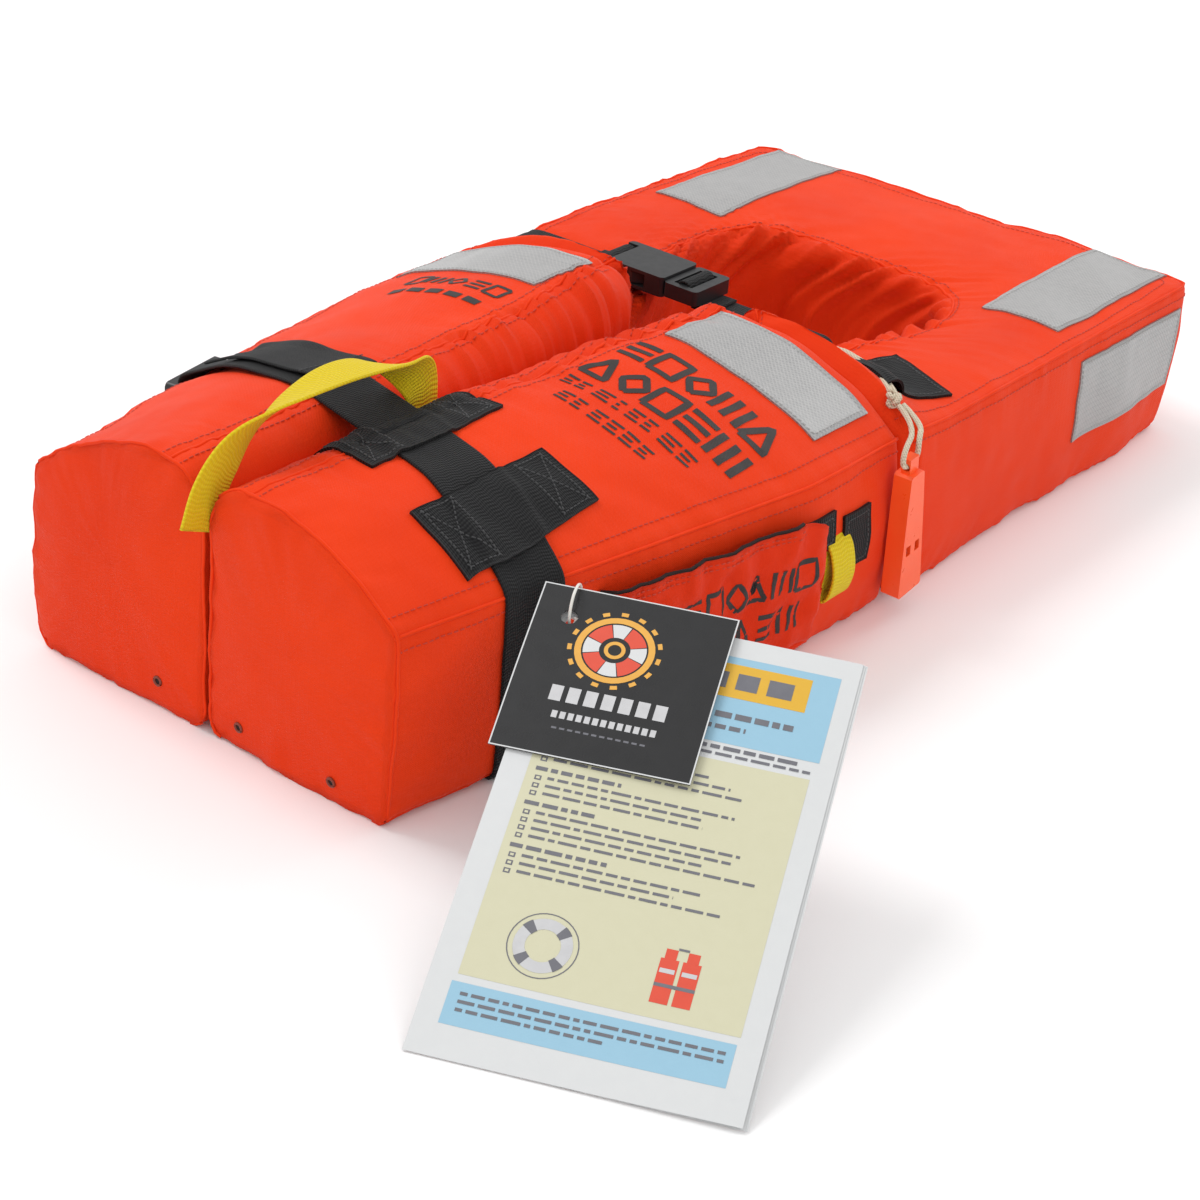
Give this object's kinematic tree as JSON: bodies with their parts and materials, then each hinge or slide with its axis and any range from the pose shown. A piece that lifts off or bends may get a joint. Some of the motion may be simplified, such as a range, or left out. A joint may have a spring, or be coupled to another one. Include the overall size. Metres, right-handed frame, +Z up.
{
  "type": "life jacket",
  "caption": "Adult block-foam life jacket, over-the-head type, with waist belt, buckles, reflective tape, whistle, lifting-loop pocket and hang tags.",
  "frame": {"origin": "on the face that the jacket rests on, under the middle of the collar", "axes": "+Z up, out of the jacket's front side; +Y from the waist end towards the collar end; +X across, towards the panel with the pocket"},
  "size_m": [0.5163, 0.7938, 0.1631],
  "materials": {
    "cover_cloth": "plain-woven nylon cover cloth, satin",
    "foam": "closed-cell foam sheet",
    "reflective_tape": "retroreflective tape with a fine embossed grid",
    "eyelet_metal": "plated",
    "black_webbing": "woven polyester webbing",
    "buckle_plastic": "moulded acetal, fine texture",
    "lanyard_cord": "braided cord",
    "whistle_plastic": "moulded, glossy",
    "pocket_cloth": "plain-woven nylon cloth",
    "yellow_webbing": "woven webbing",
    "booklet_paper": "printed card",
    "tag_card": "glossy card",
    "fastener_plastic": "clear-white plastic loop"
  },
  "bodies": {
    "front_panels": {"right_front_cover": "cover_cloth", "left_front_cover": "cover_cloth", "right_front_foam": "foam", "left_front_foam": "foam", "drain_eyelets": "eyelet_metal", "right_front_tape": "reflective_tape", "left_front_tape": "reflective_tape", "waist_belt": "black_webbing", "waist_belt_tail": "black_webbing", "inner_belt_keeper": "black_webbing", "outer_belt_keeper": "black_webbing", "waist_buckle_female": "buckle_plastic", "waist_webbing_eye": "black_webbing", "pocket_gusset": "pocket_cloth", "lifting_line": "black_webbing", "lifting_anchor": "black_webbing", "grab_strap": "yellow_webbing", "tag_fastener": "fastener_plastic"},
    "collar": {"collar_cover": "cover_cloth", "collar_foam": "foam", "right_collar_tape": "reflective_tape", "left_collar_tape": "reflective_tape", "right_side_tape": "reflective_tape", "left_side_tape": "reflective_tape", "neck_buckle_female": "buckle_plastic", "neck_webbing_eye": "black_webbing", "left_neck_strap": "black_webbing", "right_neck_strap": "black_webbing", "whistle_tab": "black_webbing", "lanyard_strand_a": "lanyard_cord", "lanyard_strand_b": "lanyard_cord"},
    "waist_buckle_plug": {"waist_buckle_male": "buckle_plastic"},
    "waist_latch_front": {"waist_latch_a": "buckle_plastic"},
    "waist_latch_back": {"waist_latch_b": "buckle_plastic"},
    "neck_buckle_plug": {"neck_buckle_male": "buckle_plastic"},
    "neck_latch_front": {"neck_latch_a": "buckle_plastic"},
    "neck_latch_back": {"neck_latch_b": "buckle_plastic"},
    "knot": {"lanyard_knot": "lanyard_cord"},
    "whistle": {"whistle": "whistle_plastic", "whistle_loop": "lanyard_cord"},
    "pocket_flap": {"pocket_flap": "pocket_cloth"},
    "pull_loop": {"lifting_pull_loop": "yellow_webbing"},
    "booklet": {"safety_booklet": "booklet_paper"},
    "hang_tag": {"hang_tag": "tag_card"}
  },
  "joints": [
    {"name": "shoulder_fold", "type": "hinge", "parent": "front_panels", "child": "collar", "pos_m": [0, -0.26, 0], "axis": [1, 0, 0], "range_deg": [-60, 0]},
    {"name": "waist_buckle_slide", "type": "slide", "parent": "front_panels", "child": "waist_buckle_plug", "axis": [0, 0, 1], "range_m": [0, 0.014]},
    {"name": "waist_latch_a_hinge", "type": "hinge", "parent": "waist_buckle_plug", "child": "waist_latch_front", "pos_m": [-0.14544, -0.4897, 0.0698], "axis": [-0.9868, -0.162, 0], "range_deg": [-16.2, 0]},
    {"name": "waist_latch_b_hinge", "type": "hinge", "parent": "waist_buckle_plug", "child": "waist_latch_back", "pos_m": [-0.1503, -0.4601, 0.0698], "axis": [-0.9868, -0.162, 0], "range_deg": [0, 16.2]},
    {"name": "neck_buckle_slide", "type": "slide", "parent": "collar", "child": "neck_buckle_plug", "axis": [1, 0, 0], "range_m": [0, 0.014]},
    {"name": "neck_latch_a_hinge", "type": "hinge", "parent": "neck_buckle_plug", "child": "neck_latch_front", "pos_m": [-0.0422, -0.2035, 0.1056], "axis": [0, 0, 1], "range_deg": [-16.2, 0]},
    {"name": "neck_latch_b_hinge", "type": "hinge", "parent": "neck_buckle_plug", "child": "neck_latch_back", "pos_m": [-0.0422, -0.1845, 0.1056], "axis": [0, 0, 1], "range_deg": [0, 16.2]},
    {"name": "lanyard_lift", "type": "hinge", "parent": "collar", "child": "knot", "pos_m": [0.143, -0.253, 0.1115], "axis": [0, 1, 0], "range_deg": [-70, 0]},
    {"name": "whistle_swing", "type": "hinge", "parent": "knot", "child": "whistle", "pos_m": [0.143, -0.253, 0.1115], "axis": [1, 0, 0], "range_deg": [-15, 15]},
    {"name": "pocket_flap_open", "type": "hinge", "parent": "front_panels", "child": "pocket_flap", "pos_m": [0.15763, -0.419, 0.008], "axis": [0.162, 0.9868, 0], "range_deg": [0, 75]},
    {"name": "pull_loop_lift", "type": "hinge", "parent": "front_panels", "child": "pull_loop", "pos_m": [0.16245, -0.33, 0.068], "axis": [0, 1, 0], "range_deg": [-80, 0]},
    {"name": "booklet_turn", "type": "hinge", "parent": "front_panels", "child": "booklet", "pos_m": [0.1548, -0.54093, 0.09549], "axis": [0.9198, 0.3923, 0], "range_deg": [-18, 0]},
    {"name": "hang_tag_turn", "type": "hinge", "parent": "booklet", "child": "hang_tag", "pos_m": [0.1548, -0.54093, 0.09549], "axis": [0.9198, 0.3923, 0], "range_deg": [-8, 0]}
  ],
  "couplings": [
    {"joint": "waist_latch_a_hinge", "follows": "waist_buckle_slide", "rad_per_m": -20},
    {"joint": "waist_latch_b_hinge", "follows": "waist_buckle_slide", "rad_per_m": 20},
    {"joint": "neck_latch_a_hinge", "follows": "neck_buckle_slide", "rad_per_m": -20},
    {"joint": "neck_latch_b_hinge", "follows": "neck_buckle_slide", "rad_per_m": 20}
  ]
}
